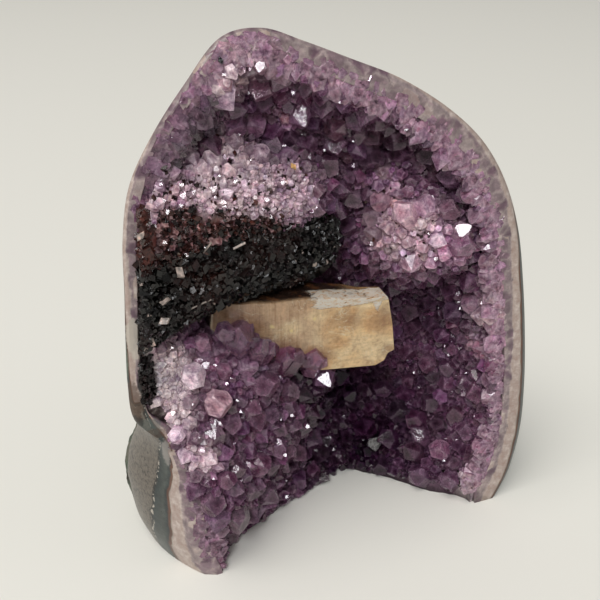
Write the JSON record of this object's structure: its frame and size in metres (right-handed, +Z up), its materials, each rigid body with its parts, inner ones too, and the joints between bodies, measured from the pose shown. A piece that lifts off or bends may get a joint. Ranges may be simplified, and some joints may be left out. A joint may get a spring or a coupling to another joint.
{
  "type": "amethyst druse",
  "caption": "Freestanding half geode with a flat cut base: a rock shell around a hollow lined with amethyst points, a black crystal ledge and a bar of honey calcite.",
  "frame": {"origin": "middle of the footprint, on the surface that the cut base stands on", "axes": "+Z up, -Y out of the open front of the hollow, +X to the right seen from the front"},
  "size_m": [0.1346, 0.0792, 0.163],
  "materials": {
    "rock": "polished grey-green rock with a pale banded edge, rough behind",
    "amethyst": "clear to milky violet quartz points",
    "goethite": "glossy black and brown small crystals",
    "calcite": "translucent honey cleavage bar"
  },
  "bodies": {
    "root": {"rock_shell": "rock", "amethyst_crust": "amethyst", "black_ledge": "goethite", "calcite_crystal": "calcite"}
  },
  "joints": []
}
